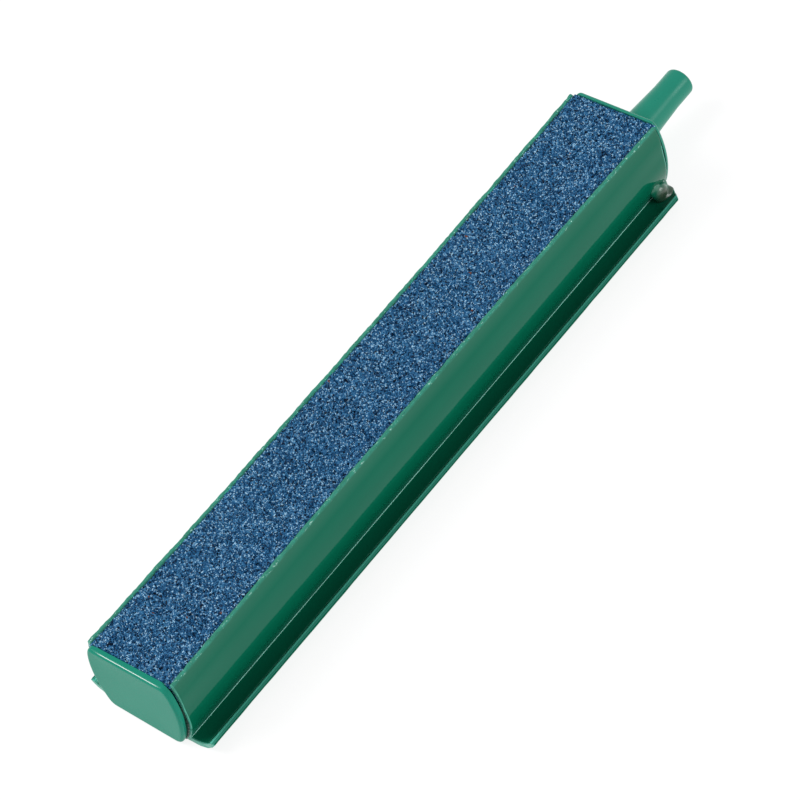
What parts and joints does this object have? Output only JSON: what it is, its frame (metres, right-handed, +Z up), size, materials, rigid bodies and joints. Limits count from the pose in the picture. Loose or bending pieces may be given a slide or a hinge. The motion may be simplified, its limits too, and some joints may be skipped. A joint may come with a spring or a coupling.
{
  "type": "air stone",
  "caption": "Straight bar air stone: bonded blue grit in a bulge-sided green plastic channel with side wings, a blank end cap and a hose nozzle.",
  "frame": {"origin": "on the flat underside, below the middle of the whole length from the blank cap's face to the nozzle's tip", "axes": "+X along the bar from the blank cap to the hose nozzle, +Z up from the underside to the grit"},
  "size_m": [0.1302, 0.023, 0.0139],
  "materials": {
    "channel_plastic": "glossy extruded plastic, sea green",
    "strip_plastic": "plain natural plastic, satin",
    "bonded_grit": "bonded mineral grit, rough, blue with dark, pale and a few rusty grains",
    "cap_plastic": "satin moulded plastic, sea green, a little paler than the channel",
    "clear_glue": "clear set glue, glossy, dark where it is thin"
  },
  "bodies": {
    "root": {"channel": "channel_plastic", "air_strip": "strip_plastic", "stone": "bonded_grit", "blank_cap": "cap_plastic", "nozzle_cap": "cap_plastic", "blank_cap_bond": "clear_glue", "nozzle_cap_bond": "clear_glue", "corner_glue": "clear_glue"}
  },
  "joints": []
}
